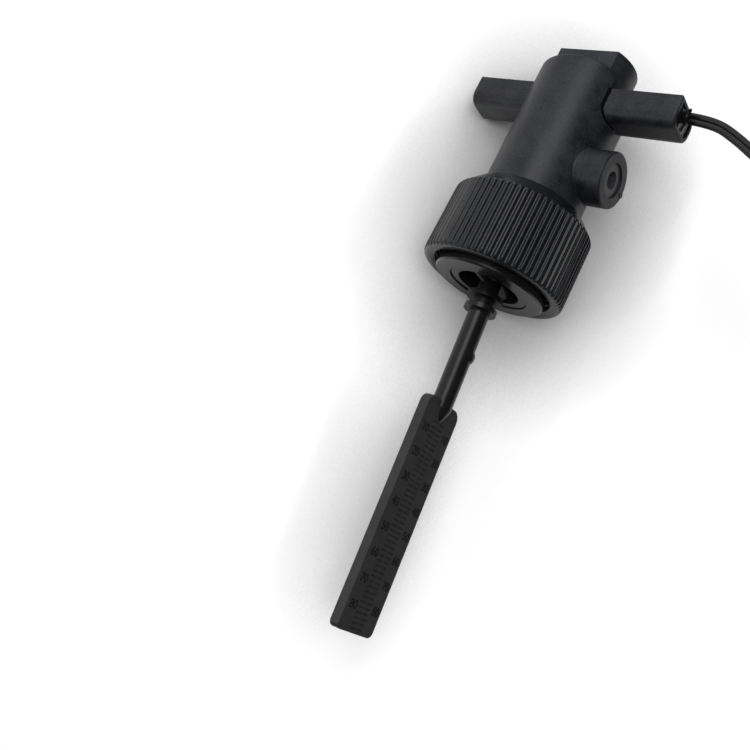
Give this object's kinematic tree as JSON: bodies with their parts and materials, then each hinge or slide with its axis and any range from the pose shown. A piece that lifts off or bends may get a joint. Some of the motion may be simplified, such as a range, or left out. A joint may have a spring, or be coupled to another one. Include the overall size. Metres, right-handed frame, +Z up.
{
  "type": "paddle flow switch",
  "caption": "Pipe-mounted flow switch: a hinged paddle under a union nut swings a magnet past a reed switch in the body's cross tube, with a twin lead.",
  "frame": {"origin": "middle of the tail's sealing face, on the body's axis", "axes": "+Z up along the body's axis away from the pipe, +X along the cross tube towards the lead, -Y to the side of the head's flat"},
  "size_m": [0.1868, 0.0653, 0.2483],
  "materials": {
    "body_plastic": "fine satin, glass-filled moulding",
    "nut_plastic": "fine satin, glass-filled moulding",
    "tail_plastic": "smooth satin moulding",
    "paddle_plastic": "matt moulding",
    "seal_rubber": "matt",
    "steel": "ground",
    "bush_plastic": "satin",
    "magnet": "sintered",
    "insulator": "satin",
    "reed_glass": "clear, faint green",
    "reed_metal": "plated",
    "crimp_brass": "plated",
    "wire_sleeve": "extruded",
    "resin": "glossy cast resin",
    "lead_sleeve": "extruded satin",
    "tie_plastic": "satin",
    "tinned_copper": "tinned strands"
  },
  "bodies": {
    "housing": {"switch_body": "body_plastic", "tail_sleeve": "tail_plastic", "tail_seal": "seal_rubber", "pivot_ring": "tail_plastic", "pivot_pin": "steel", "reed_cradle": "insulator", "reed_glass": "reed_glass", "reed_blade_left": "reed_metal", "reed_blade_right": "reed_metal", "crimp_left": "crimp_brass", "crimp_right": "crimp_brass", "feed_wire": "wire_sleeve", "return_wire": "wire_sleeve", "potting_plug": "resin", "lead": "lead_sleeve", "lead_coil": "lead_sleeve", "coil_tie": "tie_plastic", "lead_core_near": "lead_sleeve", "lead_core_far": "lead_sleeve", "core_tip_near": "tinned_copper", "core_tip_far": "tinned_copper"},
    "swing": {"lever_arm": "paddle_plastic", "bush_front": "bush_plastic", "bush_rear": "bush_plastic", "drive_magnet": "magnet", "magnet_cap": "paddle_plastic", "paddle": "paddle_plastic"},
    "nut": {"union_nut": "nut_plastic"},
    "carrier": {"magnet_carrier": "insulator", "return_magnet": "magnet"},
    "plug": {"adjuster_plug": "body_plastic"}
  },
  "joints": [
    {"name": "paddle_swing", "type": "hinge", "parent": "housing", "child": "swing", "pos_m": [0, 0, 0.0055], "axis": [0, 1, 0], "range_deg": [-5.85, 16.15], "stiffness_Nm_per_rad": 0.06, "springref_deg": -1.15},
    {"name": "nut_spin", "type": "hinge", "parent": "housing", "child": "nut", "pos_m": [0, 0, 0.0025], "axis": [0, 0, 1], "continuous": true},
    {"name": "carrier_slide", "type": "slide", "parent": "housing", "child": "carrier", "axis": [-1, 0, 0], "range_m": [0, 0.003]},
    {"name": "plug_turn", "type": "hinge", "parent": "carrier", "child": "plug", "pos_m": [0.0295, 0, 0.0557], "axis": [-1, 0, 0], "range_deg": [0, 900]}
  ],
  "couplings": [
    {"joint": "plug_turn", "follows": "carrier_slide", "rad_per_m": 5235.9}
  ]
}
